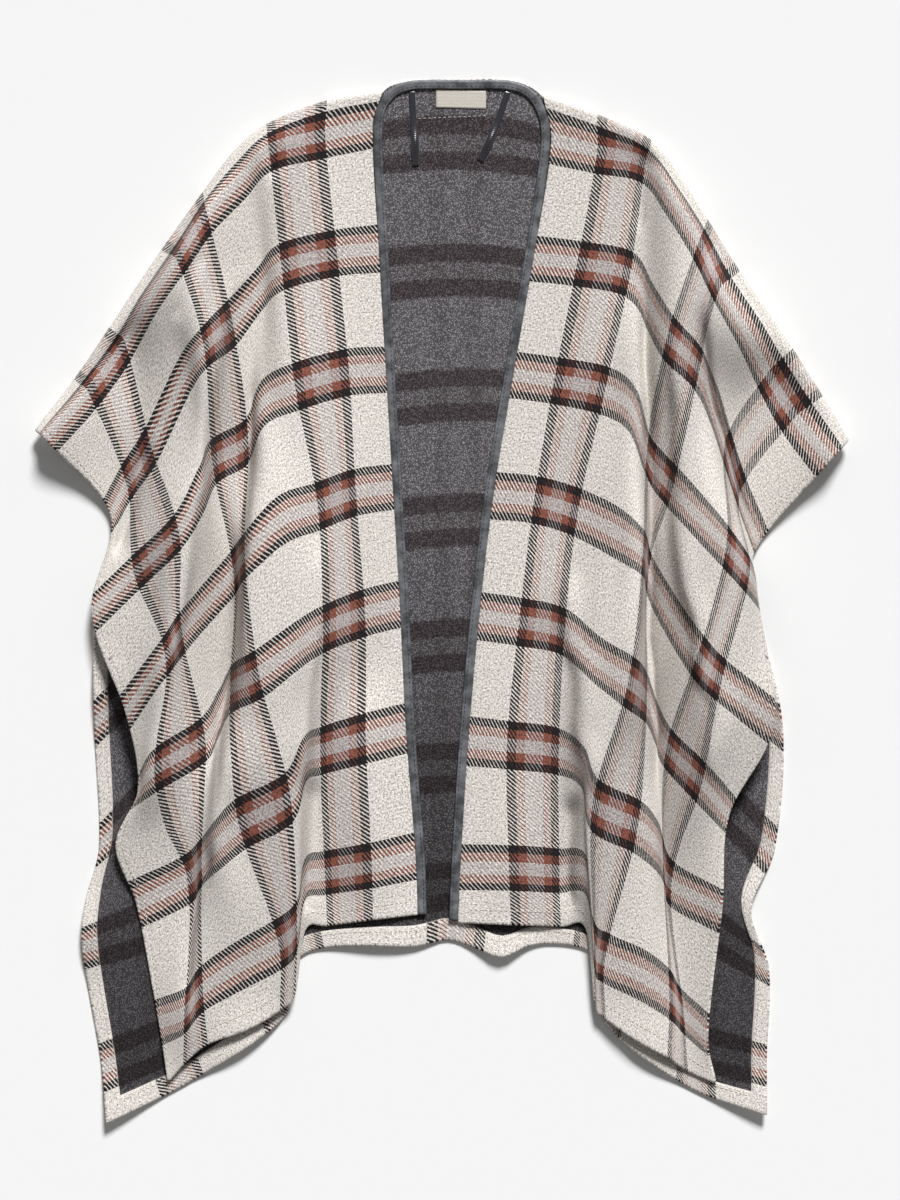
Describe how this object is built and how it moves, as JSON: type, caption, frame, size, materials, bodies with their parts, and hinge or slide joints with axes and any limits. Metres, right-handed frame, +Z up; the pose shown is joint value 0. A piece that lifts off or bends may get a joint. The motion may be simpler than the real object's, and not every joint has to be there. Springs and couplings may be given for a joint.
{
  "type": "blanket cape laid flat",
  "caption": "Open-front plaid blanket cape in double-faced wool-blend twill, cream plaid face over a dark grey reverse, neck and front edges bound, laid flat",
  "frame": {"origin": "centre of the bounding box on the surface the cape lies on", "axes": "+X across the cape to its right as seen from above, +Y from the hem towards the neck, +Z up out of the surface, on the side where the open front shows"},
  "size_m": [0.8116, 1.041, 0.0539],
  "materials": {
    "plaid_face": "brushed wool-blend twill, matte, cream with a black, rust and grey plaid",
    "binding": "coated faux leather tape, low sheen, topstitched",
    "loop_satin": "satin ribbon",
    "label_tape": "woven label tape, bare"
  },
  "bodies": {
    "root": {"cloth_body": "plaid_face", "edge_binding": "binding", "hanger_loop_left": "loop_satin", "hanger_loop_right": "loop_satin", "neck_label": "label_tape"}
  },
  "joints": []
}
